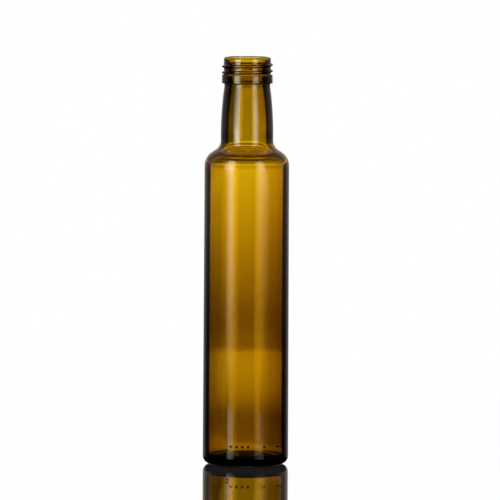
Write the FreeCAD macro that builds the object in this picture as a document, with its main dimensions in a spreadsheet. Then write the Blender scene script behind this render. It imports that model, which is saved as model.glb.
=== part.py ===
"""Round oil bottle of moulded glass, with a screw finish and no cap.

One piece of glass: a straight round body on a ring-shaped foot, a rounded shoulder, a neck that
swells a little, and a finish with a locking ring for an aluminium cap.
Millimetres, +Z up. The origin is on the bottle's axis, in the plane that it stands on.
"""

import FreeCAD, Part

import math
import os

import Sketcher

# --------------------------------------------------------------------------- driving dimensions
# Radii are from the axis, and heights from the plane that the bottle stands on.
SIZES = [
    # the outside, from the foot up
    ("heel_radius", 25.22, "outside of the body, at the heel"),
    ("heel_round", 4.8, "rounding from the body into the foot"),
    ("shoulder_radius", 24.9, "outside of the body, under the shoulder"),
    ("shoulder_height", 180.8, "where the body's line meets the shoulder's slope"),
    ("shoulder_round", 9.4, "rounding of the shoulder"),
    ("neck_radius", 15.45, "widest part of the neck"),
    ("neck_root_height", 186.8, "where the shoulder's slope meets the neck's line"),
    ("neck_root_round", 8.0, "hollow between the shoulder and the neck"),
    ("neck_widest_height", 195.0, "top of the neck's straight foot, where its swell starts"),
    ("collar_radius", 13.55, "outside of the neck under the locking ring"),
    ("collar_height", 222.5, "where the neck's swell ends in a straight collar"),
    # the finish: locking ring and lip
    ("ring_bottom_radius", 15.05, "locking ring at its lower edge"),
    ("ring_top_radius", 14.9, "locking ring at its upper edge"),
    ("ring_bottom", 224.6, "underside of the locking ring"),
    ("ring_top", 229.7, "upper side of the locking ring"),
    ("ring_round", 0.5, "rounding of the locking ring's two edges"),
    ("lip_radius", 13.87, "outside of the finish above the locking ring"),
    ("lip_height", 240.0, "sealing surface, the top of the bottle"),
    ("lip_outer_round", 1.4, "rounding outside the sealing surface"),
    ("lip_inner_round", 0.9, "rounding inside the sealing surface"),
    # the inside, from the floor up
    ("floor_height", 7.8, "top of the domed floor, on the axis"),
    ("floor_edge", 5.0, "where the floor's dome meets the wall's line"),
    ("floor_round", 3.0, "rounding between the floor and the wall"),
    ("cavity_radius", 21.7, "inside of the body"),
    ("cavity_shoulder", 179.0, "where the inside wall meets the inner slope"),
    ("cavity_round", 6.4, "rounding inside the shoulder"),
    ("throat_radius", 12.5, "inside of the neck, at its foot"),
    ("throat_height", 185.0, "where the inner slope meets the neck's inside"),
    ("throat_round", 11.0, "rounding inside the neck's foot"),
    ("bore_radius", 10.3, "inside of the finish"),
    ("bore_height", 222.0, "where the neck's tapered inside becomes a straight bore"),
    # the hollow under the foot
    ("foot_inner_radius", 18.4, "inner edge of the flat ring that the bottle stands on"),
    ("punt_height", 3.6, "rise of the hollow under the bottle"),
    ("punt_round", 1.0, "rounding between the flat ring and the hollow"),
]

AXIS = None  # in a corner, the radius of a point on the axis
STANDING_PLANE = None  # in a corner, the height of a point in the plane that the bottle stands on

# Corners of the three half-sections: radius, height, and the shape of the side to the next corner.
OUTSIDE = [
    (AXIS, STANDING_PLANE, "straight"),
    ("heel_radius", STANDING_PLANE, "straight"),
    ("shoulder_radius", "shoulder_height", "straight"),
    ("neck_radius", "neck_root_height", "straight"),
    ("neck_radius", "neck_widest_height", "swell"),
    ("collar_radius", "collar_height", "straight"),
    ("collar_radius", "ring_bottom", "straight"),
    ("ring_bottom_radius", "ring_bottom", "straight"),
    ("ring_top_radius", "ring_top", "straight"),
    ("lip_radius", "ring_top", "straight"),
    ("lip_radius", "lip_height", "straight"),
    (AXIS, "lip_height", "straight"),
]
INSIDE = [
    (AXIS, "floor_height", "dome"),
    ("cavity_radius", "floor_edge", "straight"),
    ("cavity_radius", "cavity_shoulder", "straight"),
    ("throat_radius", "throat_height", "straight"),
    ("bore_radius", "bore_height", "straight"),
    ("bore_radius", "lip_height", "straight"),
    (AXIS, "lip_height", "straight"),
]
PUNT = [
    (AXIS, "punt_height", "dome"),
    ("foot_inner_radius", STANDING_PLANE, "straight"),
    (AXIS, STANDING_PLANE, "straight"),
]

# Roundings, in the order in which they are made: name, then radius and height of the corner that it
# rounds, then its own radius.
ROUNDINGS = [
    ("heel", "heel_radius", STANDING_PLANE, "heel_round"),
    ("shoulder", "shoulder_radius", "shoulder_height", "shoulder_round"),
    ("neck_root", "neck_radius", "neck_root_height", "neck_root_round"),
    ("ring_lower_edge", "ring_bottom_radius", "ring_bottom", "ring_round"),
    ("ring_upper_edge", "ring_top_radius", "ring_top", "ring_round"),
    ("lip_outside", "lip_radius", "lip_height", "lip_outer_round"),
    ("lip_inside", "bore_radius", "lip_height", "lip_inner_round"),
    ("floor_corner", "cavity_radius", "floor_edge", "floor_round"),
    ("cavity_corner", "cavity_radius", "cavity_shoulder", "cavity_round"),
    ("throat", "throat_radius", "throat_height", "throat_round"),
    ("punt_edge", "foot_inner_radius", STANDING_PLANE, "punt_round"),
]

NEAR = 1e-3  # mm, for telling whether a circle lies at a corner
PART_LABEL = "bottle"

# Sketcher's numbers for what a constraint can name
H_AXIS, V_AXIS, ROOT = -1, -2, -1
START, END, CENTRE = 1, 2, 3


# --------------------------------------------------------------------------- the sheet of sizes
def make_sheet(doc):
    """A spreadsheet with a row for each size: its name, its value under that alias, its meaning."""
    sheet = doc.addObject("Spreadsheet::Sheet", "sizes")
    for row, (name, value, meaning) in enumerate(SIZES, start=1):
        sheet.set(f"A{row}", name)
        sheet.set(f"B{row}", str(value))
        sheet.set(f"C{row}", meaning)
        sheet.setAlias(f"B{row}", name)
    doc.recompute()
    return sheet


def cell(name):
    """The expression that reads one size from the sheet."""
    return f"<<{sizes.Label}>>.{name}"


def size(name):
    """The value of one size in the sheet, or zero for the axis and the standing plane."""
    return float(sizes.get(name)) if name else 0.0


# --------------------------------------------------------------------------- half-sections
def side_curve(start, end, shape):
    """The side from start to end, and which of its ends lies at start.

    A dome's centre is on the axis. A swell's centre is level with its start, so that it leaves a
    vertical line smoothly. An arc runs anticlockwise, so it may start at the side's far end.
    """
    if shape == "straight":
        return Part.LineSegment(start, end), START
    chord = end - start
    if shape == "dome":
        centre = FreeCAD.Vector(0, (end.dot(end) - start.dot(start)) / (2 * chord.y))
    else:
        centre = start + FreeCAD.Vector(chord.dot(chord) / (2 * chord.x), 0)
    circle = Part.Circle(centre, FreeCAD.Vector(0, 0, 1), (start - centre).Length)
    from_angle, to_angle = (math.atan2(p.y - centre.y, p.x - centre.x) for p in (start, end))
    arc = Part.ArcOfCircle(circle, min(from_angle, to_angle), max(from_angle, to_angle))
    return arc, START if from_angle < to_angle else END


def hold(sketch, side, end, direction, name):
    """Holds one coordinate of a corner at a size from the sheet, or on an axis of the sketch."""
    if name is None:
        axis = V_AXIS if direction == "DistanceX" else H_AXIS
        sketch.addConstraint(Sketcher.Constraint("PointOnObject", side, end, axis))
    else:
        value = Sketcher.Constraint(direction, ROOT, START, side, end, size(name))
        index = sketch.addConstraint(value)
        sketch.setExpression(f"Constraints[{index}]", cell(name))


def half_section(body, name, corners):
    """A closed sketch in the body's XZ plane, with the axis of the bottle as its vertical axis."""
    plane = next(item for item in body.Origin.OriginFeatures if item.Role == "XZ_Plane")
    sketch = body.newObject("Sketcher::SketchObject", name)
    sketch.AttachmentSupport = [(plane, "")]
    sketch.MapMode = "FlatFace"

    points = [FreeCAD.Vector(size(radius), size(height)) for radius, height, _ in corners]
    shapes = [shape for _, _, shape in corners]
    sides = [side_curve(*side) for side in zip(points, points[1:] + points[:1], shapes)]
    for curve, _ in sides:
        sketch.addGeometry(curve, False)
    starts = [start for _, start in sides]
    for side, (radius, height, shape) in enumerate(corners):
        start = starts[side]
        before = side - 1 if side else len(corners) - 1
        end_before = START + END - starts[before]
        sketch.addConstraint(Sketcher.Constraint("Coincident", before, end_before, side, start))
        hold(sketch, side, start, "DistanceX", radius)
        hold(sketch, side, start, "DistanceY", height)
        if shape == "dome":
            sketch.addConstraint(Sketcher.Constraint("PointOnObject", side, CENTRE, V_AXIS))
        elif shape == "swell":
            sketch.addConstraint(Sketcher.Constraint("Horizontal", side, CENTRE, side, start))
    return sketch


def turn(body, kind, sketch):
    """A half-section turned once round the axis, as a PartDesign Revolution or Groove."""
    feature = body.newObject(f"PartDesign::{kind}", kind.lower() + "_of_" + sketch.Name)
    feature.Profile = sketch
    feature.ReferenceAxis = (sketch, ["V_Axis"])
    feature.Angle = 360
    doc.recompute()
    return feature


def round_corner(body, name, radius, height, rounding):
    """A fillet on the circle that lies at a corner of a half-section."""
    base = body.Tip
    corner = FreeCAD.Vector(0, 0, size(height))
    edge = next(
        number
        for number, edge in enumerate(base.Shape.Edges, start=1)
        if not edge.Degenerated
        and isinstance(edge.Curve, Part.Circle)
        and edge.Curve.Center.isEqual(corner, NEAR)
        and abs(edge.Curve.Radius - size(radius)) < NEAR
    )
    fillet = body.newObject("PartDesign::Fillet", name + "_rounding")
    fillet.Base = (base, [f"Edge{edge}"])
    fillet.Radius = size(rounding)
    fillet.setExpression("Radius", cell(rounding))
    doc.recompute()


# --------------------------------------------------------------------------- the bottle
def make_bottle(doc):
    """The glass: its outside turned as a solid, its inside and its punt turned out of that."""
    body = doc.addObject("PartDesign::Body", PART_LABEL)
    turn(body, "Revolution", half_section(body, "outside", OUTSIDE))
    turn(body, "Groove", half_section(body, "inside", INSIDE))
    turn(body, "Groove", half_section(body, "punt", PUNT))
    for rounding in ROUNDINGS:
        round_corner(body, *rounding)
    body.Placement = FreeCAD.Placement()
    return body


def check(doc, bodies):
    """Stops unless every object was computed and every body is one sound solid."""
    failed = [item.Name for item in doc.Objects if {"Invalid", "Error"} & set(item.State)]
    if failed:
        raise RuntimeError(f"not computed: {', '.join(failed)}")
    for body in bodies:
        shape = body.Shape
        if shape.isNull() or not shape.isValid() or len(shape.Solids) != 1:
            raise RuntimeError(f"{body.Label} isn't one sound solid")


doc = FreeCAD.newDocument("oil_bottle")
sizes = make_sheet(doc)
bottle = make_bottle(doc)
doc.recompute()
check(doc, [bottle])

os.makedirs("parts", exist_ok=True)
bottle.Shape.exportStep(f"parts/{bottle.Label}.step")
print(f"{bottle.Label}: {bottle.Shape.Volume / 1000:.2f} cm3 of glass")
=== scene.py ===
"""An empty round oil bottle of amber-green moulded glass, on a pale glossy table in a light studio.

The glass is one closed surface: a profile of straight runs and arcs turned round the axis, with the
thread, the studs of the foot, the mould's marks and the unevenness of blown glass added as small
movements of that surface. Lengths are in metres, apart from the distances given to below_lip. The
front is at -Y, and angles round the axis are counted from +X, which is at the right.
"""

import math

import bpy
import numpy as np
from mathutils import Matrix, Vector


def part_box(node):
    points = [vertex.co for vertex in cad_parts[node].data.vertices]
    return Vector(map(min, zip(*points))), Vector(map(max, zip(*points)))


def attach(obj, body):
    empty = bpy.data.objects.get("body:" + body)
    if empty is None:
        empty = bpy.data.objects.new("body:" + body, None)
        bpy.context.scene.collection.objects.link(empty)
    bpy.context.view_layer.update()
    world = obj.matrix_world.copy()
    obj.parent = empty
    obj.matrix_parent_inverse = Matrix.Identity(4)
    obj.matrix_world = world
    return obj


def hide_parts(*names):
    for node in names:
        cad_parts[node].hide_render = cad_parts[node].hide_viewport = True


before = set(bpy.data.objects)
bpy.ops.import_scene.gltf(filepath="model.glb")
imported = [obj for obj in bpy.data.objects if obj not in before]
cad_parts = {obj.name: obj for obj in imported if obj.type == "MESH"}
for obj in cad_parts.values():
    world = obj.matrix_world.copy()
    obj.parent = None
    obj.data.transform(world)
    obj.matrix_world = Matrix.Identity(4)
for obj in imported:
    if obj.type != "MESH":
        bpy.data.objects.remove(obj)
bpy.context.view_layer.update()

MM = 0.001
FOOT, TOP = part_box("bottle")
HEIGHT = TOP.z - FOOT.z
HEEL_RADIUS = (TOP.x - FOOT.x) / 2


# ------------------------------------------------------------------ the bottle's measures
def below_lip(distance):
    """Height of something that lies this far, in millimetres, below the sealing surface."""
    return HEIGHT - distance * MM


NECK_RADIUS = 15.45 * MM
COLLAR_RADIUS = 13.55 * MM
RING_RADIUS = 15.05 * MM
ROOT_RADIUS = 13.87 * MM
RECESS_RADIUS = 11.6 * MM
BORE_RADIUS = 10.3 * MM
THROAT_RADIUS = 12.5 * MM
CAVITY_RADIUS = 21.7 * MM
SHOULDER_RADIUS = 24.9 * MM
STUD_RING_INNER, STUD_RING_OUTER = 18.4 * MM, 20.42 * MM

RING_TOP = below_lip(10.3)
RING_BOTTOM = below_lip(15.4)

# Corners of the outside from the middle of the hollow foot to the lip: radius, height, rounding.
OUTSIDE = [
    (0, 3.6 * MM, 0),
    (9.55 * MM, 3.6 * MM, 48.8 * MM),
    (STUD_RING_INNER, 0, 1.0 * MM),
    (HEEL_RADIUS, 0, 4.8 * MM),
    (SHOULDER_RADIUS, below_lip(58.8), 9.4 * MM),
    (NECK_RADIUS, below_lip(52.7), 6.3 * MM),
    (NECK_RADIUS, below_lip(31.2), 200 * MM),
    (COLLAR_RADIUS, below_lip(17.5), 3 * MM),
    (COLLAR_RADIUS, RING_BOTTOM, 0.35 * MM),
    (RING_RADIUS, RING_BOTTOM, 0.5 * MM),
    (RING_RADIUS - 0.15 * MM, RING_TOP, 0.5 * MM),
    (ROOT_RADIUS, RING_TOP, 0.4 * MM),
    (ROOT_RADIUS, HEIGHT, 1.4 * MM),
]
# Corners of the inside, from the lip to the middle of the floor.
INSIDE = [
    (RECESS_RADIUS, HEIGHT, 0.4 * MM),
    (RECESS_RADIUS, below_lip(2.6), 0.8 * MM),
    (BORE_RADIUS, below_lip(3.8), 1.2 * MM),
    (BORE_RADIUS, below_lip(17), 6 * MM),
    (THROAT_RADIUS - 0.1 * MM, below_lip(31.2), 190 * MM),
    (THROAT_RADIUS, below_lip(55.2), 10 * MM),
    (CAVITY_RADIUS, below_lip(59.9), 6 * MM),
    (CAVITY_RADIUS, 4.4 * MM, 1.6 * MM),
    (10.9 * MM, 7.9 * MM, 54 * MM),
    (0, 7.9 * MM, 0),
]

THREAD_PITCH = 3.6 * MM
THREAD_DEPTH = 1.15 * MM
THREAD_HALF_WIDTH = 1.0 * MM
THREAD_CREST = 0.35  # share of the half width before the crest falls away
THREAD_TOP_AT_RIGHT = below_lip(4.5)
THREAD_LEAN = 0.35 * MM
THREAD_START, THREAD_END = math.radians(-600), math.radians(65)
THREAD_FADE = math.radians(35)
# Heights over which the thread comes out of the wall above the locking ring and goes back into it
# under the lip.
THREAD_RISES = (RING_TOP + 0.1 * MM, RING_TOP + 0.5 * MM)
THREAD_SINKS = (below_lip(1.9), below_lip(1.2))

STUD_COUNT = 44
STUD_DEPTH = 0.35 * MM
# The gaps between the studs run this far past the ring, and only below this height.
STUD_GAP_PAST_RING = 0.8 * MM
STUDS_BELOW = 1 * MM

HEEL_DOT_ANGLES = [-110.2, -101.7, -94.2, -86.4, -64.0, -42.0, -36.0]
HEEL_DOT_HEIGHT = 11.8 * MM
SEAM_ANGLE = math.radians(-90 - 25.5)
SEAM_DOTS = [9.4 * MM, 7.4 * MM, 5.4 * MM]
MOULD_DOT_RADIUS = 0.45 * MM
MOULD_DOT_DEPTH = 0.10 * MM
SEAM_WIDTH, SEAM_DEPTH = 0.35 * MM, 0.07 * MM
MARKS_FROM = 2 * MM
MARKS_OUTSIDE = COLLAR_RADIUS - 1 * MM

# Waves of the inner wall: depth in millimetres, waves round, where they start, and how far they turn
# from foot to lip, both in radians.
WALL_WAVES = [
    (0.16, 2, 1.3, 0.7),
    (0.08, 3, -0.4, -1.5),
    (0.05, 5, 0.0, 2.0),
    (0.03, 8, -1.0, 1.5),
]
# The inside lies off the axis by this many millimetres, and by so much less past the given share of
# the height.
OFF_AXIS, OFF_AXIS_EASED = 0.34, 0.25
EASED_OVER = (0.45, 0.85)
UNEVEN_STARTS = (9 * MM, 25 * MM)
UNEVEN_ENDS = (below_lip(25), below_lip(10))

GLASS_INDEX = 1.51
# Degrees by which the walls turn light where the glass's painted shade is dim, starts to be dark and
# is fully dark.
BODY_TURNS = (4, 21, 42)
NECK_TURNS = (6, 13.5, 24)
NECK_TURNS_OVER = (below_lip(62), below_lip(50))
# Where the wall leans this much, as one less its uprightness, its facings are lifted by this.
LEANING, LEANING_LIFT = (0.02, 0.12), 3.0
OUT_OF_REACH = 9.0  # a facing that no surface has, since the largest is 1
# Limits that keep the wall between inner and outer radius open for the sums at floor and lip.
INNER_LEAST, OUTER_LEAST = 6 * MM, 7 * MM
WALL_LEAST, GAP_LEAST = 0.5 * MM, 0.3 * MM
HALVINGS, JUST_INSIDE = 20, 0.9999
# The thick foot, with painted shade: heights over which it ends on the outside, and the floor's own
# limits inside.
FOOT_ENDS = (4.8 * MM, 6.2 * MM)
FLOOR_TOP, FLOOR_EDGE = 8.2 * MM, CAVITY_RADIUS - 0.1 * MM

COLUMNS = STUD_COUNT * 5
ROWS = 450
ARC_POINTS = 48
# How rows are spread: the walk's step, the steps that a blur takes in, the weight of a bend for each
# radian, and the radians for each metre from which a place counts as bent.
WALK_STEP = 0.04 * MM
BLUR_STEPS = 61
BEND_ROWS = 8.0
BEND_LEAST = 10.0
# Steps between rows: on the thread, on the marks, beside a bend and at most, with their growth.
THREAD_ROW, MARK_ROW = 0.17 * MM, 0.35 * MM
NEAR_ROW, WIDEST_ROW, ROW_GROWTH = 0.4 * MM, 6 * MM, 0.3
MARK_ROWS_TO = 15 * MM


# ------------------------------------------------------------------ numbers along a profile
def rounded_path(corners):
    """Points along straight runs whose corners are cut by arcs tangent to both runs.

    An arc starts its radius times the tangent of half the turn before the corner. Its centre lies on
    the corner's bisector, at its radius over the cosine of half the turn.
    """
    corner = np.array([c[:2] for c in corners], float)
    parts = [corner[:1]]
    for before, here, after, (_, _, radius) in zip(corner, corner[1:], corner[2:], corners[1:-1]):
        arrive = (here - before) / np.linalg.norm(here - before)
        leave = (after - here) / np.linalg.norm(after - here)
        turn = math.atan2(arrive[0] * leave[1] - arrive[1] * leave[0], arrive @ leave)
        side = math.copysign(1, turn) * np.array([-arrive[1], arrive[0]])
        centre = here - arrive * radius * math.tan(abs(turn) / 2) + side * radius
        angle = np.linspace(0, abs(turn), ARC_POINTS)[:, None]
        parts.append(centre + radius * (arrive * np.sin(angle) - side * np.cos(angle)))
    parts.append(corner[-1:])
    return np.concatenate(parts)


def smooth_step(low, high, value):
    """0 below low, 1 above high, and 3t^2 - 2t^3 between them."""
    t = np.clip((value - low) / (high - low), 0, 1)
    return t * t * (3 - 2 * t)


def bump(distance, width):
    """A smooth hill: 1 at distance 0, falling as a bell curve whose half width is given."""
    return np.exp(-np.square(distance / width) * math.log(2))


def spread_rows(path, rows):
    """The path again, with its points spread by need: close at and near bends, thread and marks.

    The path is first walked in equal small steps. How fast its heading turns there, blurred over a
    few steps, is what a bend needs. Away from a bend, rows grow apart in proportion to the distance
    from it, so that no wide row takes on a bend's slope.
    """
    length = np.concatenate([[0], np.cumsum(np.hypot(*np.diff(path, axis=0).T))])
    walked = np.arange(0, length[-1], WALK_STEP)
    radius, height = (np.interp(walked, length, path[:, i]) for i in (0, 1))
    heading = np.unwrap(np.arctan2(np.gradient(height), np.gradient(radius)))
    blur = np.hanning(BLUR_STEPS) / np.hanning(BLUR_STEPS).sum()
    bend = np.convolve(np.abs(np.gradient(heading, walked)), blur, "same")
    outside = np.arange(len(walked)) < np.argmax(height)
    thread = outside & (height > RING_TOP)
    marks = outside & (height > MARKS_FROM) & (height < MARK_ROWS_TO)
    fine = np.where(thread, 1 / THREAD_ROW, 0) + np.where(marks, 1 / MARK_ROW, 0)
    bends = walked[bend > BEND_LEAST]
    after = np.clip(np.searchsorted(bends, walked), 1, len(bends) - 1)
    apart = np.minimum(np.abs(walked - bends[after - 1]), np.abs(walked - bends[after]))
    plain = 1 / np.minimum(WIDEST_ROW, NEAR_ROW + ROW_GROWTH * apart)
    need = np.where(bend > BEND_LEAST, 1 / WIDEST_ROW, plain) + fine + bend * BEND_ROWS
    total = np.concatenate([[0], np.cumsum(need[1:])])
    at = np.interp(np.linspace(0, total[-1], rows), total, walked)
    at[-1] = length[-1]
    return np.stack([np.interp(at, length, path[:, i]) for i in (0, 1)], axis=1)


# ------------------------------------------------------------------ small movements of the glass
def thread_ridge(angle, height):
    """One right-hand thread: a rounded ridge round a helix, taken turn by turn.

    Along the helix, height is the top turn's height at the right plus the pitch times the turns from
    there, and it leans up a little towards the left. Each end sinks into the wall over the fade's
    length. The angle runs from half a turn before the right to half a turn after it.
    """
    ridge = np.zeros(np.broadcast(angle, height).shape)
    for turns_below in (2, 1, 0):
        along = angle - 2 * math.pi * turns_below
        middle = THREAD_TOP_AT_RIGHT + THREAD_PITCH * along / (2 * math.pi)
        middle = middle + THREAD_LEAN * (1 - np.cos(angle))
        across = np.abs(height - middle) / THREAD_HALF_WIDTH
        ends = smooth_step(THREAD_START, THREAD_START + THREAD_FADE, along)
        ends = ends * (1 - smooth_step(THREAD_END - THREAD_FADE, THREAD_END, along))
        ridge = np.maximum(ridge, ends * (1 - smooth_step(THREAD_CREST, 1.0, across)))
    return ridge * THREAD_DEPTH


def mould_dots():
    """Angle and height of each raised dot: a row round the heel and a few up one seam."""
    row = [(math.radians(a), HEEL_DOT_HEIGHT) for a in HEEL_DOT_ANGLES]
    return row + [(SEAM_ANGLE, z) for z in SEAM_DOTS]


def mould_marks(angle, radius, height):
    """Dots in a row round the heel and up the seam, and the seam's own fine line."""
    marks = np.zeros(np.broadcast(angle, height).shape)
    for place, z in mould_dots():
        sideways = radius * np.angle(np.exp(1j * (angle - place)))
        marks = marks + MOULD_DOT_DEPTH * bump(np.hypot(sideways, height - z), MOULD_DOT_RADIUS)
    for place in (SEAM_ANGLE, SEAM_ANGLE + math.pi):
        sideways = radius * np.angle(np.exp(1j * (angle - place)))
        marks = marks + SEAM_DEPTH * bump(sideways, SEAM_WIDTH)
    return marks


def wall_unevenness(angle, height):
    """How far the inner wall strays from round.

    The sum of a few cosines of the angle, each turned in proportion to the height, and one more that
    moves the whole inside off the axis. It fades out at the floor and under the locking ring.
    """
    climb = height / HEIGHT
    waves = 0
    for depth, count, start, twist in WALL_WAVES:
        waves = waves + depth * np.cos(count * angle + start + twist * climb)
    off_axis = OFF_AXIS - OFF_AXIS_EASED * smooth_step(*EASED_OVER, climb)
    waves = waves - off_axis * np.cos(angle)
    return smooth_step(*UNEVEN_STARTS, height) * (waves * MM) * (1 - smooth_step(*UNEVEN_ENDS, height))


def foot_studs(angle, radius):
    """Depth of the gaps between the studs of the foot's ring: a squared sine round the bottle.

    Across the ring it follows a parabola that is 1 midway and 0 at both sides.
    """
    across = (radius - STUD_RING_INNER) / (STUD_RING_OUTER + STUD_GAP_PAST_RING - STUD_RING_INNER)
    in_ring = np.clip(4 * across * (1 - across), 0, 1) * (across > 0) * (across < 1)
    return STUD_DEPTH * in_ring * np.square(np.sin(STUD_COUNT * angle / 2))


def outer_relief(angle, radius, height):
    """How far the outside stands out from its profile: the thread, and the marks under the ring."""
    from_right = np.where(angle > math.pi, angle - 2 * math.pi, angle)
    thread = thread_ridge(from_right, height) * smooth_step(*THREAD_RISES, height)
    thread = thread * (1 - smooth_step(*THREAD_SINKS, height))
    marked = (height > MARKS_FROM) & (height < RING_BOTTOM) & (radius > MARKS_OUTSIDE)
    return thread + np.where(marked, mould_marks(angle, radius, height), 0)


def light_turn(offset, outer, inner):
    """How far both walls turn a ray that passes the axis at this offset.

    Each crossing turns it by the difference of the arcsines of offset over radius, outside the glass
    and, divided by the index, inside it: inwards at the outer surface and outwards at the inner one.
    """
    at_inner = np.arcsin(offset / inner) - np.arcsin(offset / inner / GLASS_INDEX)
    at_outer = np.arcsin(offset / outer) - np.arcsin(offset / outer / GLASS_INDEX)
    return 2 * (at_inner - at_outer)


def facing_at_turn(outer, inner, upright, turn):
    """One minus the cosine of the surface's tilt to a level ray, where the walls turn it this far.

    The offset is found by halving its range. The tilt's cosine is that of the turn round the axis,
    whose sine is the offset over the radius, times the surface's own uprightness.
    """
    low, high = 0 * inner, inner * JUST_INSIDE
    for _ in range(HALVINGS):
        middle = (low + high) / 2
        short = light_turn(middle, outer, inner) < turn
        low, high = np.where(short, middle, low), np.where(short, high, middle)
    return 1 - upright * np.sqrt(1 - np.square(low / outer))


def inside_radius(path, lip_row, height):
    """Radius of the inside's profile at each height, between the floor's edge and the lip."""
    edge_row = lip_row + int(np.argmin(path[lip_row:, 1]))
    upwards = path[lip_row:edge_row + 1][::-1]
    return np.interp(height, upwards[:, 1], upwards[:, 0])


def edge_facings(path, lip_row, across, uneven):
    """The facings at which the walls turn light by each of the three turns, for every point, which set
    the painted shade.

    They are out of reach on the inside, and wherever the wall leans.
    """
    height = path[:, 1][:, None]
    slope = np.gradient(path, axis=0)
    upright = np.clip(slope[:, 1] / np.hypot(*slope.T), 0, 1)[:, None]
    inner = inside_radius(path, lip_row, height) + uneven
    inner = np.clip(inner, INNER_LEAST, np.maximum(across, OUTER_LEAST) - WALL_LEAST)
    outer = np.maximum(across, inner + GAP_LEAST)
    in_neck = smooth_step(*NECK_TURNS_OVER, height)
    facings = []
    for body_turn, neck_turn in zip(BODY_TURNS, NECK_TURNS):
        turn = np.radians(body_turn + (neck_turn - body_turn) * in_neck)
        facings.append(facing_at_turn(outer, inner, upright, turn))
    outside = (np.arange(len(path)) <= lip_row)[:, None, None]
    edges = np.where(outside, np.stack(facings, axis=2), OUT_OF_REACH)
    return edges + LEANING_LIFT * smooth_step(*LEANING, 1 - upright)[..., None]


def painted_foot_share(outside, radius, height):
    """Share of the painted dark foot: 1 on the thick foot, over its heel outside and its floor inside,
    and 0 on the wall.
    """
    heel = outside & (radius > STUD_RING_OUTER)
    floor = ~outside & (height < FLOOR_TOP) & (radius < FLOOR_EDGE)
    return np.maximum(heel * (1 - smooth_step(*FOOT_ENDS, height)), floor)


def glass_grid():
    """The whole surface as a grid: rows along the profile, columns round the axis.

    A point is its profile's radius turned to its column's angle, at its profile's height, after the
    thread, marks and unevenness have moved the radius and the studs have moved the height.
    """
    path = spread_rows(rounded_path(OUTSIDE + INSIDE), ROWS)
    lip_row = int(np.argmax(path[:, 1]))
    radius, height = path[:, 0][:, None], path[:, 1][:, None]
    angle = np.linspace(0, 2 * math.pi, COLUMNS, endpoint=False)[None, :]
    outside = (np.arange(ROWS) <= lip_row)[:, None]

    uneven = wall_unevenness(angle, height)
    across = radius + np.where(outside, outer_relief(angle, radius, height), uneven)
    up = height + foot_studs(angle, radius) * (outside & (height < STUDS_BELOW))
    grid = np.stack([across * np.cos(angle), across * np.sin(angle), up], axis=2)
    foot = np.broadcast_to(painted_foot_share(outside, radius, height), across.shape)
    return grid, edge_facings(path, lip_row, across, uneven), foot


# ------------------------------------------------------------------ meshes
def mesh_object(name, points, faces, smooth=True):
    """A mesh object at the origin from an array of points and a list of arrays of faces."""
    mesh = bpy.data.meshes.new(name)
    mesh.from_pydata(points.reshape(-1, 3).tolist(), [], sum((f.tolist() for f in faces), []))
    mesh.polygons.foreach_set("use_smooth", np.full(len(mesh.polygons), smooth))
    mesh.update()
    piece = bpy.data.objects.new(name, mesh)
    bpy.context.scene.collection.objects.link(piece)
    return piece


def grid_faces(rows, columns, closed=True):
    """Four-sided faces between neighbouring rows and columns, wound so that they face outwards."""
    row = np.arange(rows - 1)[:, None]
    column = np.arange(columns if closed else columns - 1)[None, :]
    after = (column + 1) % columns
    corners = [
        row * columns + column,
        row * columns + after,
        (row + 1) * columns + after,
        (row + 1) * columns + column,
    ]
    return np.stack(corners, axis=2).reshape(-1, 4)


def closed_turning(name, grid, edges, solid):
    """A turned grid whose first and last rows have shrunk to the axis, with those rows as fans.

    It keeps for each point the facings at which its walls turn light away, which set its painted
    shade, and how far it lies over the solid foot, whose shade is painted dark.
    """
    rows, columns, _ = grid.shape
    rings = grid[1:-1].reshape(-1, 3)
    poles = grid[[0, -1]].mean(axis=1)
    points = np.concatenate([rings, poles])
    first, last = len(rings), len(rings) + 1
    column = np.arange(columns)
    after = (column + 1) % columns
    top_row = (rows - 3) * columns
    start = np.stack([np.full(columns, first), after, column], axis=1)
    end = np.stack([top_row + column, top_row + after, np.full(columns, last)], axis=1)
    piece = mesh_object(name, points, [grid_faces(rows - 2, columns), start, end])
    turning = piece.data.attributes.new("edge_facing", "FLOAT_VECTOR", "POINT")
    ends = np.full((2, 3), OUT_OF_REACH)
    turning.data.foreach_set("vector", np.concatenate([edges[1:-1].reshape(-1, 3), ends]).ravel())
    foot = piece.data.attributes.new("solid_foot", "FLOAT", "POINT")
    foot.data.foreach_set("value", np.concatenate([solid[1:-1].ravel(), [0.0, 0.0]]))
    return piece


# ------------------------------------------------------------------ shader maths
class Wire:
    """A shader socket that can be used in sums: each operation adds its Math node."""

    def __init__(self, shader, socket):
        self.shader, self.socket = shader, socket

    def maths(self, operation, *others):
        """A Math node with this socket first, and the other sockets or numbers after it."""
        inputs = dict(enumerate([self, *others]))
        return self.shader.node("Math", {"operation": operation}, inputs)

    def __add__(self, other):
        return self.maths("ADD", other)

    def __mul__(self, other):
        return self.maths("MULTIPLY", other)

    def __sub__(self, other):
        return self.maths("SUBTRACT", other)

    def __rsub__(self, other):
        return self.shader.node("Math", {"operation": "SUBTRACT"}, {0: other, 1: self})

    def __truediv__(self, other):
        return self.maths("DIVIDE", other)

    __radd__, __rmul__ = __add__, __mul__


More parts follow.
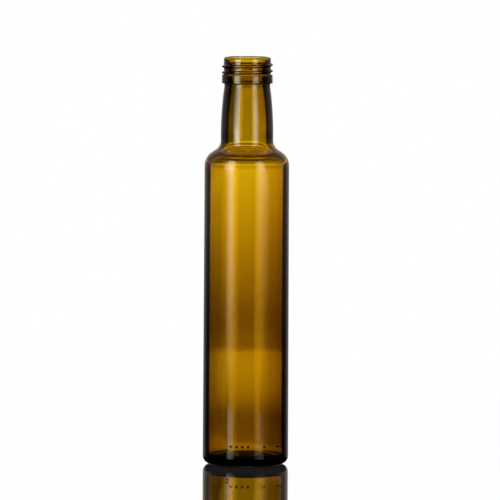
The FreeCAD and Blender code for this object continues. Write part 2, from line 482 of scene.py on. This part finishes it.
class Shader:
    """One material's or world's node tree, built by calls."""

    def __init__(self, owner):
        owner.use_nodes = True
        self.tree = owner.node_tree
        self.tree.nodes.clear()

    def node(self, kind, settings=None, inputs=None, output=0):
        """Adds a node of this type, with its settings set first and then its sockets."""
        node = self.tree.nodes.new("ShaderNode" + kind)
        for name, value in (settings or {}).items():
            if name == "stops":
                self.set_stops(node.color_ramp, value)
            else:
                setattr(node, name, value)
        for name, value in (inputs or {}).items():
            if isinstance(value, Wire):
                self.tree.links.new(value.socket, node.inputs[name])
            else:
                node.inputs[name].default_value = value
        return Wire(self, node.outputs[output])

    def set_stops(self, ramp, stops):
        """Gives a colour ramp its stops: pairs of place and colour."""
        while len(ramp.elements) < len(stops):
            ramp.elements.new(1.0)
        for element, (place, colour) in zip(ramp.elements, stops):
            element.position = place
            element.color = (*colour, 1.0)

    def between(self, low, high, value):
        """A smooth rise of value from 0 at low to 1 at high."""
        settings = {"interpolation_type": "SMOOTHSTEP"}
        inputs = {"Value": value, "From Min": low, "From Max": high}
        return self.node("MapRange", settings, inputs)

    def mix_colour(self, factor, first, second):
        """The first colour where factor is 0 and the second where it is 1."""
        inputs = {0: factor, 6: first, 7: second}
        return self.node("Mix", {"data_type": "RGBA"}, inputs, output=2)

    def mix_surface(self, factor, first, second):
        """The first surface where factor is 0 and the second where it is 1."""
        return self.node("MixShader", {}, {0: factor, 1: first, 2: second})

    def place(self):
        """The object's own coordinates, which are the bottle's, as every mesh is at the origin."""
        return self.node("TexCoord", output="Object")

    def axis(self, vector, letter):
        """One of the three numbers of a vector."""
        return self.node("SeparateXYZ", {}, {0: vector}, output=letter)

    def vector_maths(self, operation, inputs, output):
        """A vector operation on one vector or two."""
        settings = {"operation": operation}
        return self.node("VectorMath", settings, dict(enumerate(inputs)), output=output)

    def kept(self, name, output="Fac"):
        """What the mesh keeps under this name for each of its points."""
        return self.node("Attribute", {"attribute_name": name}, output=output)

    def facing(self):
        """0 where the surface faces the ray, rising to 1 where it is seen edge on."""
        return self.node("LayerWeight", {}, {"Blend": 0.5}, output="Facing")

    def ray(self, output):
        """What kind of ray this is, or how often it was turned back or let through."""
        return self.node("LightPath", output=output)

    def glow(self, colour, level):
        """A surface that gives off light."""
        return self.node("Emission", {}, {"Color": colour, "Strength": level})

    def finish(self, kind, surface, volume=None):
        """Joins the surface, and the volume where there is one, to the output."""
        output = self.tree.nodes.new("ShaderNodeOutput" + kind)
        self.tree.links.new(surface.socket, output.inputs["Surface"])
        if volume:
            self.tree.links.new(volume.socket, output.inputs["Volume"])


WHITE = (1.0, 1.0, 1.0, 1.0)


# ------------------------------------------------------------------ the glass
# What the glass absorbs along a ray's way: its density for each metre, and the colour that is left.
GLASS_DENSITY = 1000.0
GLASS_COLOUR = (0.9525, 0.8645, 0.0, 1.0)
# Painted shade in the surface's colour: dark edges, the dim sides above and below, and the locking
# ring.
PAINTED_DARK = (0.0004, 0.0003, 0.0002, 1.0)
HIGH_SHADE = (0.72, 0.72, 0.7, 1.0)
LOW_SHADE = (0.50, 0.47, 0.45, 1.0)
RING_SHADE = (0.55, 0.55, 0.55, 1.0)
# Between these heights the shade passes from the low one to the high one.
SHADE_OVER = (0.11, 0.16)
# The dimming starts and is full at these shares of the facing where light is turned slightly.
DIM_OVER = (0.7, 1.7)
RING_EDGE = 0.2 * MM
# Distances from the middle of a raised dot, and from the seam's line, over which their painted shade
# ends.
DOT_DARK_ENDS = (0.6 * MM, 1.0 * MM)
SEAM_DARK_ENDS = (0.15 * MM, 0.55 * MM)
# Heights over which the seam's painted dark line begins and ends, and how dark it is.
SEAM_LINE_STARTS = (9 * MM, 11 * MM)
SEAM_LINE_ENDS = (36 * MM, 54 * MM)
SEAM_LINE_SHARE = 0.75
# Relief of the glass: long ripples, stretched upwards, with a little fine grain on them.
RIPPLE_STRETCH = (1.0, 1.0, 0.35)
RIPPLE_SCALE, GRAIN_SCALE, GRAIN_SHARE = 140.0, 900.0, 0.04
RELIEF_STRENGTH, RELIEF_DEPTH = 0.12, 0.0002


def on_heel(angle, height):
    """A point at the heel's radius, at this angle and height."""
    return HEEL_RADIUS * math.cos(angle), HEEL_RADIUS * math.sin(angle), height


def moulded_spots_shade(shader, place):
    """1 on the mould's raised dots, whose steep sides' shade is painted dark, and 0 a little way round
    them.
    """
    spots = 0
    for angle, height in mould_dots():
        apart = shader.vector_maths("DISTANCE", [place, on_heel(angle, height)], "Value")
        spots = (1 - shader.between(*DOT_DARK_ENDS, apart)) + spots
    return spots


def seam_shade_line(shader, place, height):
    """1 along the mould's seam on the lower wall, where its shade is painted as a dark line, and 0 a
    little way to its sides.
    """
    level = shader.vector_maths("MULTIPLY", [place, (1, 1, 0)], "Vector")
    apart = shader.vector_maths("DISTANCE", [level, on_heel(SEAM_ANGLE, 0)], "Value")
    line = 1 - shader.between(*SEAM_DARK_ENDS, apart)
    starts = shader.between(*SEAM_LINE_STARTS, height)
    return line * (starts * (1 - shader.between(*SEAM_LINE_ENDS, height)))


def painted_glass_shade(shader, place):
    """The glass's surface colour: white, with the painted shade that moulded_glass describes."""
    turns = shader.kept("edge_facing", "Vector")
    slight, start, full = (shader.axis(turns, letter) for letter in "XYZ")
    facing = shader.facing()
    height = shader.axis(place, "Z")
    # Painted shade: the sides dim where the walls turn light from less bright parts.
    dim = shader.between(slight * DIM_OVER[0], slight * DIM_OVER[1], facing)
    shade = shader.mix_colour(shader.between(*SHADE_OVER, height), LOW_SHADE, HIGH_SHADE)
    shaded_tint = shader.mix_colour(dim, WHITE, shade)
    # Painted shade on the locking ring.
    in_ring = shader.between(RING_BOTTOM - RING_EDGE, RING_BOTTOM + RING_EDGE, height)
    in_ring = in_ring * (1 - shader.between(RING_TOP - RING_EDGE, RING_TOP + RING_EDGE, height))
    shaded_tint = shader.mix_colour(in_ring, shaded_tint, RING_SHADE)
    # Painted shade: dark edges where the walls turn light to the dark room, and a dark foot, dots and
    # seam.
    for dark in (
        shader.between(start, full, facing).maths("MAXIMUM", shader.kept("solid_foot")),
        moulded_spots_shade(shader, place),
        seam_shade_line(shader, place, height) * SEAM_LINE_SHARE,
    ):
        shaded_tint = shader.mix_colour(dark, shaded_tint, PAINTED_DARK)
    return shaded_tint


def moulded_glass():
    """Amber-green glass, tinted by depth, with painted shade: dim towards its sides and dark at its
    edges and foot.

    The nearer to the edge light passes, the further the walls turn it. After a slight turn it comes
    from less bright parts, and between two larger turns it leaves these for the dark of the room.
    The locking ring has painted shade too, and the mould's dots and seam are painted dark.
    """
    material = bpy.data.materials.new("moulded_glass")
    shader = Shader(material)
    place = shader.place()
    stretched = shader.node("Mapping", {}, {"Vector": place, "Scale": RIPPLE_STRETCH})
    ripple = {"Vector": stretched, "Scale": RIPPLE_SCALE, "Detail": 2.0}
    grain = {"Vector": place, "Scale": GRAIN_SCALE, "Detail": 2.0}
    relief = shader.node("TexNoise", {}, ripple) + shader.node("TexNoise", {}, grain) * GRAIN_SHARE
    bumps = {"Height": relief, "Strength": RELIEF_STRENGTH, "Distance": RELIEF_DEPTH}
    sockets = {
        "Base Color": painted_glass_shade(shader, place),
        "Roughness": 0.0,
        "IOR": GLASS_INDEX,
        "Transmission Weight": 1.0,
        "Normal": shader.node("Bump", {}, bumps),
    }
    absorbed = {"Color": GLASS_COLOUR, "Density": GLASS_DENSITY}
    surface = shader.node("BsdfPrincipled", {}, sockets)
    shader.finish("Material", surface, shader.node("VolumeAbsorption", {}, absorbed))
    return material


# ------------------------------------------------------------------ materials of the stage
TABLE_RADIUS = 0.85
TABLE_WHITE = (0.93, 0.93, 0.93, 1.0)
TABLE_MIRROR, TABLE_ROUGHNESS = (0.99, 0.99, 0.99, 1.0), 0.03
# Facings over which the table passes from white, seen from above, to a mirror, seen low.
LOW_VIEW = (0.74, 0.88)
# The mirror loses a little of its polish within these distances from the axis.
HAZE_ENDS, HAZE = (0.05, 0.11), 0.014
# Shares of the table's radius over which its rim fades out.
RIM_FADES = (0.55, 0.98)
# What the glass shows of the table from above: a painted shadow, dark at the foot, pale past these
# distances.
SHADOW_UNDER_FOOT, PALE_TABLE = (0.01, 0.01, 0.01, 1.0), (0.9, 0.9, 0.9, 1.0)
FOOT_DARK_ENDS = (0.026, 0.10)
# The glass shows the table darker to its sides, as painted shade, over these sines of the angle from
# straight ahead and by this share: near the bottle only at the right, and past these distances only at
# the left.
SIDE_DARK_OVER, SIDE_DARK = (0.10, 0.22), 0.33
SIDES_CHANGE = (0.30, 0.55)
RIGHT_STARTS = (-0.01, 0.01)
# In front of the bottle, up to these distances, the glass shows no table when it is seen low.
FRONT_ENDS = (-0.06, -0.02)
# What the glass shows of the table, seen low, as painted light and shade, darkest near the bottle as
# its shadow: distance from the bottle and colour.
TABLE_TONES = [
    (0.00, (0.04, 0.04, 0.04)),
    (0.055, (0.10, 0.07, 0.065)),
    (0.082, (0.33, 0.245, 0.23)),
    (0.100, (0.43, 0.32, 0.30)),
    (0.118, (0.43, 0.32, 0.30)),
    (0.145, (0.25, 0.175, 0.17)),
    (0.172, (0.226, 0.150, 0.15)),
    (0.256, (0.188, 0.130, 0.13)),
    (0.341, (0.218, 0.150, 0.15)),
    (0.430, (0.388, 0.298, 0.28)),
    (0.519, (0.532, 0.435, 0.40)),
    (0.611, (0.600, 0.505, 0.48)),
    (0.703, (0.652, 0.540, 0.52)),
    (0.800, (0.620, 0.515, 0.50)),
    (0.825, (0.420, 0.330, 0.32)),
    (0.850, (0.360, 0.265, 0.25)),
]
BACKDROP_RADIUS = 3.0
# What the glass shows of the backdrop: height, of which the table hides the lowest, and colour.
BACKDROP_TONES = [
    (-0.900, (0.30, 0.22, 0.21)),
    (-0.171, (0.30, 0.22, 0.21)),
    (-0.153, (0.235, 0.160, 0.150)),
    (-0.137, (0.280, 0.200, 0.190)),
    (-0.119, (0.377, 0.290, 0.280)),
    (-0.097, (0.500, 0.395, 0.380)),
    (-0.074, (0.620, 0.520, 0.500)),
    (-0.052, (0.740, 0.650, 0.630)),
    (-0.031, (0.850, 0.780, 0.750)),
    (-0.007, (0.950, 0.920, 0.900)),
    (0.004, (0.950, 0.920, 0.900)),
    (0.027, (0.450, 0.400, 0.380)),
    (0.120, (0.430, 0.365, 0.340)),
    (0.275, (0.250, 0.225, 0.21)),
    (0.315, (0.270, 0.240, 0.225)),
    (0.400, (0.215, 0.190, 0.180)),
    (0.520, (0.04, 0.04, 0.04)),
    (1.100, (0.04, 0.04, 0.04)),
]


def by_height(shader, height, tones, low=0.0):
    """A colour for each height or distance, in metres, from pairs of that and a colour or level."""
    high = tones[-1][0]
    stops = []
    for place, tone in tones:
        stops.append(((place - low) / (high - low), tone if isinstance(tone, tuple) else (tone,) * 3))
    share = (height - low) / (high - low)
    return shader.node("ValToRGB", {"stops": stops}, {"Fac": share}, output="Color")


def in_mirror(shader):
    """1 for a ray that a polished surface has turned back, which glass has not let through."""
    return shader.ray("Is Glossy Ray") * (1 - shader.ray("Is Transmission Ray"))


def in_glass_gloss(shader):
    """1 for a ray turned back by the glass, whose polish is perfect, but not by the table."""
    return in_mirror(shader) * shader.ray("Is Singular Ray")


def table_in_glass(shader, place, reach, low_view):
    """The table as the glass shows it: a glow of painted light and shade, with a painted shadow at the
    foot, in staged tones that change when it is seen low.
    """
    sideways = shader.axis(place, "X")
    pale = shader.mix_colour(shader.between(*FOOT_DARK_ENDS, reach), SHADOW_UNDER_FOOT, PALE_TABLE)
    tone = shader.mix_colour(low_view, pale, by_height(shader, reach, TABLE_TONES))
    turned = shader.between(*SIDE_DARK_OVER, sideways.maths("ABSOLUTE") / reach)
    far = shader.between(*SIDES_CHANGE, reach)
    side = far + shader.between(*RIGHT_STARTS, sideways) * (1 - 2 * far)
    shown = shader.glow(tone, 1 - turned * low_view * side * SIDE_DARK)
    in_front = 1 - shader.between(*FRONT_ENDS, shader.axis(place, "Y"))
    return shader.mix_surface(in_front * low_view, shown, shader.node("BsdfTransparent"))


def glossy_table():
    """A pale polished table: a mirror when seen low, and white with a soft shadow from above."""
    material = bpy.data.materials.new("glossy_table")
    shader = Shader(material)
    place = shader.place()
    reach = shader.vector_maths("LENGTH", [place], "Value")
    low_view = shader.between(*LOW_VIEW, shader.facing())
    clear = shader.node("BsdfTransparent")
    white = shader.node("BsdfDiffuse", {}, {"Color": TABLE_WHITE})
    polish = {"Color": TABLE_MIRROR, "Roughness": TABLE_ROUGHNESS}
    haze = (1 - shader.between(*HAZE_ENDS, reach)) * HAZE
    table = shader.mix_surface(low_view * (1 - haze), white, shader.node("BsdfGlossy", {}, polish))
    table = shader.mix_surface(shader.between(*RIM_FADES, reach / TABLE_RADIUS), table, clear)
    in_glass = table_in_glass(shader, place, reach, low_view)
    table = shader.mix_surface(shader.ray("Is Transmission Ray"), table, in_glass)
    table = shader.mix_surface(in_glass_gloss(shader), table, clear)
    shader.finish("Material", table)
    return material


# Through one wall, which lets a ray through twice, the backdrop is brighter by this share, above
# these heights. Through two walls it is as given.
ONE_WALL_ENDS = (2.4, 3.6)
ONE_WALL_FROM, ONE_WALL_GAIN = (0.08, 0.10), 1.6
# Over these distances towards the back, it rises from the front's share to full.
BACK_RISES, FRONT_SHARE = (-1.0, 0.5), 0.6
# Over these distances to the left it grows darker, by a share that goes with height: the low one at
# its foot, then less by the dip, more by the rise and less by the fall, over the heights given.
LEFT_DARK_OVER = (0.12, 0.38)
LEFT_DARK_LOW = 0.28
LEFT_DARK_DIPS, LEFT_DARK_DIP = (-0.02, -0.004), 0.18
LEFT_DARK_RISES, LEFT_DARK_RISE = (0.012, 0.04), 0.63
LEFT_DARK_FALLS, LEFT_DARK_FALL = (0.20, 0.27), 0.15


def backdrop_paper():
    """The lit backdrop as the glass shows it: brightest about the table's height, dimmer elsewhere."""
    material = bpy.data.materials.new("backdrop_paper")
    shader = Shader(material)
    place = shader.place()
    height = shader.axis(place, "Z")
    tone = by_height(shader, height, BACKDROP_TONES, low=BACKDROP_TONES[0][0])
    one_wall = 1 - shader.between(*ONE_WALL_ENDS, shader.ray("Transmission Depth"))
    one_wall = one_wall * shader.between(*ONE_WALL_FROM, height)
    behind = shader.between(*BACK_RISES, shader.axis(place, "Y"))
    left = shader.axis(place, "X") * -1
    high = shader.between(*LEFT_DARK_RISES, height) * LEFT_DARK_RISE
    high = high - shader.between(*LEFT_DARK_FALLS, height) * LEFT_DARK_FALL
    low = LEFT_DARK_LOW - shader.between(*LEFT_DARK_DIPS, height) * LEFT_DARK_DIP
    shaded = shader.between(*LEFT_DARK_OVER, left) * (high + low)
    level = behind * (1 - FRONT_SHARE) + FRONT_SHARE
    level = level * (1 + ONE_WALL_GAIN * one_wall) * (1 - shaded)
    shader.finish("Material", shader.glow(tone, level))
    return material


def level_by_height(shader, height, tones):
    """A panel's brightness at each height, from pairs of height and brightness up to the peak."""
    scaled = [(place, level / PANEL_PEAK) for place, level in tones]
    return shader.axis(by_height(shader, height, scaled, low=PANEL_FOOT), "X") * PANEL_PEAK


def soft_panel(name, tones, through, late):
    """A diffusing panel that fades at its two sides, and that only turned-back rays can see.

    The glass turns back its brightness by height, and through is the same for what its far wall
    turns back. Late is the share of its width that stays dark at its outer side, by height too.
    """
    material = bpy.data.materials.new(name)
    shader = Shader(material)
    height = shader.axis(shader.place(), "Z")
    across = shader.kept("across")
    start = level_by_height(shader, height, late)
    fade = shader.between(start, start * (1 - PANEL_LATE_SHORTENS) + PANEL_FADE, across)
    fade = fade * shader.between(0.0, PANEL_FADE, 1 - across)
    seen_through = shader.ray("Is Transmission Ray")
    level = level_by_height(shader, height, tones) * (1 - seen_through)
    level = level + level_by_height(shader, height, through) * seen_through
    turned_back = shader.ray("Glossy Depth").maths("MINIMUM", 1.0)
    clear = shader.node("BsdfTransparent")
    light = shader.glow(PANEL_COLOUR, fade * level)
    shader.finish("Material", shader.mix_surface(turned_back, clear, light))
    return material


def studio_world():
    """White where the camera and the table see it, and a dim room in the gloss of the glass.

    The room is dark at the camera's side and grey beyond, and a little lighter in its upper part.
    """
    world = bpy.data.worlds.new("studio")
    bpy.context.scene.world = world
    shader = Shader(world)
    direction = shader.node("TexCoord", output="Generated")
    ahead, up = shader.axis(direction, "Y"), shader.axis(direction, "Z")
    gloss = in_glass_gloss(shader)
    upper = shader.between(*UPPER_ROOM_FROM, up) * shader.between(*UPPER_ROOM_AHEAD, ahead)
    room = shader.between(*ROOM_AHEAD, ahead) * ROOM_GREY + ROOM_DARK
    room = room * shader.between(*ROOM_FROM, up) + upper * UPPER_ROOM
    over_backdrop = shader.ray("Is Transmission Ray") * HIDDEN_FROM_GLASS
    level = (1 - gloss) * (1 - over_backdrop) + gloss * room
    colour = shader.mix_colour(gloss, WHITE, ROOM_COLOUR)
    shader.finish("World", shader.node("Background", {}, {"Color": colour, "Strength": level}))


# ------------------------------------------------------------------ the stage
PANEL_FOOT, PANEL_TOP = -0.12, 0.68
PANEL_REACH = 0.6
PANEL_PEAK = 12.0
PANEL_COLOUR = (0.98, 1.03, 0.85, 1.0)
# Share of a panel's width over which a side fades, and how much of a late start shortens that.
PANEL_FADE, PANEL_LATE_SHORTENS = 0.36, 0.6
# Brightness of the two panels by height, as the glass turns them back.
LEFT_TONES = [
    (-0.120, 1.4), (-0.034, 1.6), (-0.026, 1.8), (-0.018, 1.4), (-0.010, 0.2), (0.003, 0.2),
    (0.018, 0.50), (0.034, 0.9), (0.050, 1.35), (0.066, 1.75), (0.081, 2.0), (0.105, 2.5),
    (0.120, 2.8), (0.137, 3.4), (0.148, 7.0), (0.163, 10.5), (0.185, 10.5), (0.196, 7.0),
    (0.230, 7.0), (0.300, 5.5), (0.680, 5.5),
]
RIGHT_TONES = [
    (-0.120, 0.8), (-0.034, 0.5), (-0.026, 0.5), (-0.018, 0.3), (-0.010, 0.05), (0.034, 0.08),
    (0.050, 0.15), (0.081, 0.4), (0.105, 0.75), (0.120, 1.0), (0.137, 2.0), (0.160, 4.0),
    (0.230, 4.5), (0.300, 3.2), (0.680, 3.0),
]
# The same for what the far wall turns back.
LEFT_THROUGH = [
    (-0.120, 1.7), (-0.015, 1.7), (0.000, 1.1), (0.045, 1.1), (0.075, 1.8), (0.680, 1.8),
]
RIGHT_THROUGH = [(-0.120, 1.6), (-0.005, 1.6), (0.020, 3.6), (0.680, 3.6)]
# Share of the width that stays dark at the outer side, by height.
LEFT_LATE = [
    (-0.120, 0.3), (-0.005, 0.3), (0.020, 0.13), (0.135, 0.13), (0.155, 0.0), (0.680, 0.0),
]
RIGHT_LATE = [
    (-0.120, 0.3), (-0.005, 0.3), (0.020, 0.02), (0.130, 0.02), (0.155, 0.27), (0.680, 0.27),
]
# Each panel: brightness, brightness through the glass, late start, and its angles round the bottle.
PANELS = {
    "left_panel": (LEFT_TONES, LEFT_THROUGH, LEFT_LATE, -156, -117),
    "right_panel": (RIGHT_TONES, RIGHT_THROUGH, RIGHT_LATE, -23, -70.5),
}
# The room in the gloss of the glass, by how far ahead and how high a ray points.
ROOM_COLOUR = (1.0, 0.88, 0.78, 1.0)
ROOM_AHEAD, ROOM_DARK, ROOM_GREY = (0.62, 1.0), 0.015, 0.32
ROOM_FROM = (-0.18, -0.10)
UPPER_ROOM_FROM, UPPER_ROOM_AHEAD, UPPER_ROOM = (-0.085, -0.035), (0.0, 0.5), 0.25
# Share of the world's white that the glass doesn't show over the backdrop.
HIDDEN_FROM_GLASS = 0.96
TABLE_POINTS, BACKDROP_COLUMNS, PANEL_COLUMNS = 96, 97, 48


def only_seen_by(piece, *rays):
    """Lets only these kinds of ray see a piece of the stage."""
    for kind in ("camera", "diffuse", "glossy", "transmission", "volume_scatter", "shadow"):
        setattr(piece, "visible_" + kind, kind in rays)


def upright_sheet(name, reach, low, high, from_angle, to_angle, columns):
    """Part of an upright cylinder round the bottle: height by angle, with its share across kept."""
    share = np.linspace(0, 1, columns)[None, :]
    angle = np.radians(from_angle + (to_angle - from_angle) * share)
    height = np.array([low, high])[:, None]
    flat = 0 * height
    grid = np.stack(
        [reach * np.cos(angle) + flat, reach * np.sin(angle) + flat, height + 0 * angle], axis=2
    )
    sheet = mesh_object(name, grid, [grid_faces(2, columns, closed=False)])
    across = sheet.data.attributes.new("across", "FLOAT", "POINT")
    across.data.foreach_set("value", np.broadcast_to(share, (2, columns)).ravel())
    return sheet


def table_top():
    """A round table top: a disc whose points are its radius turned round the axis."""
    angle = np.linspace(0, 2 * math.pi, TABLE_POINTS, endpoint=False)
    rim = np.stack([np.cos(angle), np.sin(angle), 0 * angle], axis=1) * TABLE_RADIUS
    table = mesh_object("table_top", rim, [np.arange(TABLE_POINTS)[None, :]], smooth=False)
    table.data.materials.append(glossy_table())


def build_stage():
    """The table, the backdrop and the two panels round the bottle, and the room's light."""
    table_top()
    low, high = BACKDROP_TONES[0][0], BACKDROP_TONES[-1][0]
    backdrop = upright_sheet("backdrop", BACKDROP_RADIUS, low, high, 0, 360, BACKDROP_COLUMNS)
    backdrop.data.materials.append(backdrop_paper())
    only_seen_by(backdrop, "transmission")
    for name, (tones, through, late, start, end) in PANELS.items():
        panel = upright_sheet(name, PANEL_REACH, PANEL_FOOT, PANEL_TOP, start, end, PANEL_COLUMNS)
        panel.data.materials.append(soft_panel(name, tones, through, late))
        only_seen_by(panel, "glossy", "transmission")
    studio_world()


# ------------------------------------------------------------------ the camera
EYE = Vector((0.0, -5.06, 0.47))
AIM = Vector((0.0021, 0.0, 0.1262))
ROLL = math.radians(0.3)
VIEW_WIDTH = 0.2946
SENSOR_WIDTH = 36.0
CLIP_NEAR, CLIP_FAR = 0.1, 100.0


def place_camera():
    """Far off and a little above, with a long lens: the width in view at the aim sets the lens."""
    camera = bpy.data.cameras.new("camera")
    camera.sensor_width = SENSOR_WIDTH
    camera.lens = SENSOR_WIDTH * (EYE - AIM).length / VIEW_WIDTH
    camera.clip_start, camera.clip_end = CLIP_NEAR, CLIP_FAR
    holder = bpy.data.objects.new("camera", camera)
    turn = (AIM - EYE).to_track_quat("-Z", "Y").to_matrix().to_4x4()
    holder.matrix_world = Matrix.Translation(EYE) @ turn @ Matrix.Rotation(ROLL, 4, "Z")
    bpy.context.scene.collection.objects.link(holder)
    bpy.context.scene.camera = holder


# ------------------------------------------------------------------ the whole scene
def build_bottle():
    """The bottle of glass, which takes the place of the plain solid."""
    bottle = closed_turning("glass_bottle", *glass_grid())
    bottle.data.materials.append(moulded_glass())
    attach(bottle, "root")
    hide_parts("bottle")


bpy.context.scene.view_settings.view_transform = "Standard"
build_bottle()
build_stage()
place_camera()
